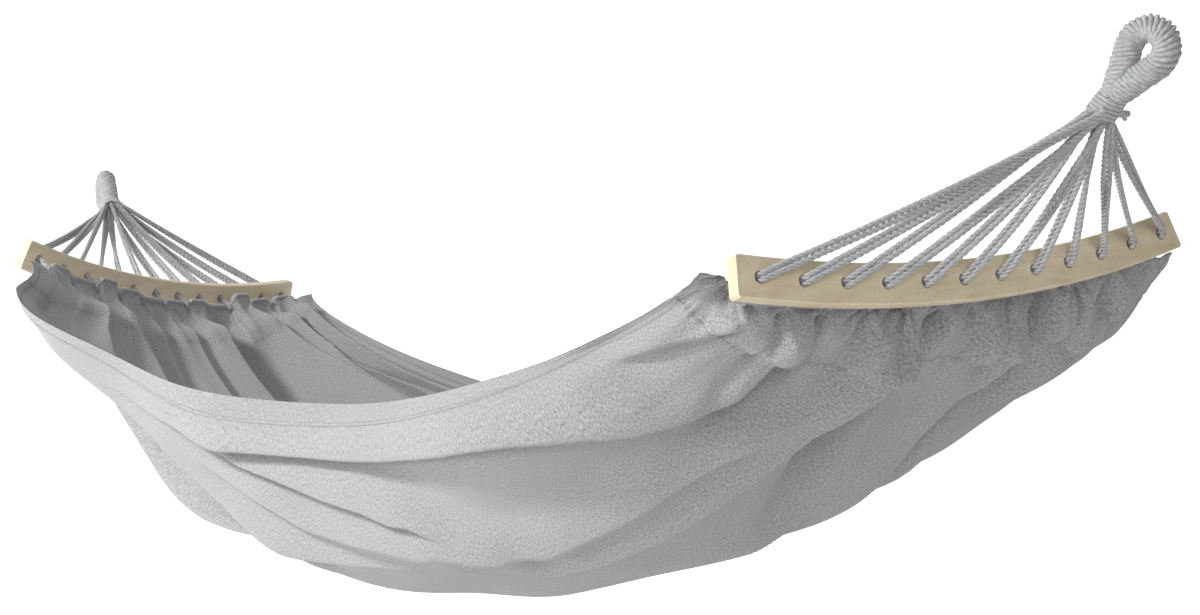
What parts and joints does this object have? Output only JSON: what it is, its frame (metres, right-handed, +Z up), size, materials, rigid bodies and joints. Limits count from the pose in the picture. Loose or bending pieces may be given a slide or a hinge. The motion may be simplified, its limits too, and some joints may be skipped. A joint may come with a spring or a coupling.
{
  "type": "camping hammock",
  "caption": "Cloth hammock bed hung from two curved wooden spreader bars by fanned doubled ropes that gather in wound rope eyes.",
  "frame": {"origin": "the top of the hole in the near eye, where the hook bears", "axes": "+X along the hammock towards the near end, +Y across it towards the back, +Z up"},
  "size_m": [2.3962, 0.9264, 0.8173],
  "materials": {
    "cloth": "matte",
    "hem": "matte",
    "rope": "matte",
    "wood": "satin"
  },
  "bodies": {
    "bed": {"cloth_bed": "cloth", "front_side_hem": "hem", "back_side_hem": "hem"},
    "near_rigging": {"near_spreader_bar": "wood", "near_header_cord": "rope", "near_end_casing": "hem", "near_neck_whipping": "rope", "near_tail_knot": "rope", "near_rope_01": "rope", "near_rope_02": "rope", "near_rope_03": "rope", "near_rope_04": "rope", "near_rope_05": "rope", "near_rope_06": "rope", "near_rope_07": "rope", "near_rope_08": "rope", "near_rope_09": "rope", "near_rope_10": "rope", "near_rope_11": "rope", "near_rope_12": "rope"},
    "near_eye": {"near_eye_core": "rope", "near_eye_winding": "rope"},
    "far_rigging": {"far_spreader_bar": "wood", "far_header_cord": "rope", "far_end_casing": "hem", "far_neck_whipping": "rope", "far_tail_knot": "rope", "far_rope_01": "rope", "far_rope_02": "rope", "far_rope_03": "rope", "far_rope_04": "rope", "far_rope_05": "rope", "far_rope_06": "rope", "far_rope_07": "rope", "far_rope_08": "rope", "far_rope_09": "rope", "far_rope_10": "rope", "far_rope_11": "rope", "far_rope_12": "rope"},
    "far_eye": {"far_eye_core": "rope", "far_eye_winding": "rope"}
  },
  "joints": [
    {"name": "near_rigging_swing", "type": "hinge", "parent": "bed", "child": "near_rigging", "pos_m": [-0.27631, 0.00972, -0.29453], "axis": [0.2578, 0.9623, 0.0872], "range_deg": [-20, 20]},
    {"name": "near_eye_tilt", "type": "hinge", "parent": "near_rigging", "child": "near_eye", "pos_m": [-0.05014, 0, -0.05975], "axis": [0, 1, 0], "range_deg": [-25, 25]},
    {"name": "far_rigging_swing", "type": "hinge", "parent": "bed", "child": "far_rigging", "pos_m": [-2.02954, 0.00281, -0.29453], "axis": [-0.2578, 0.9623, -0.0872], "range_deg": [-20, 20]},
    {"name": "far_eye_tilt", "type": "hinge", "parent": "far_rigging", "child": "far_eye", "pos_m": [-2.26221, 0.00996, -0.09968], "axis": [0.4226, 0.9063, 0], "range_deg": [-25, 25]}
  ]
}
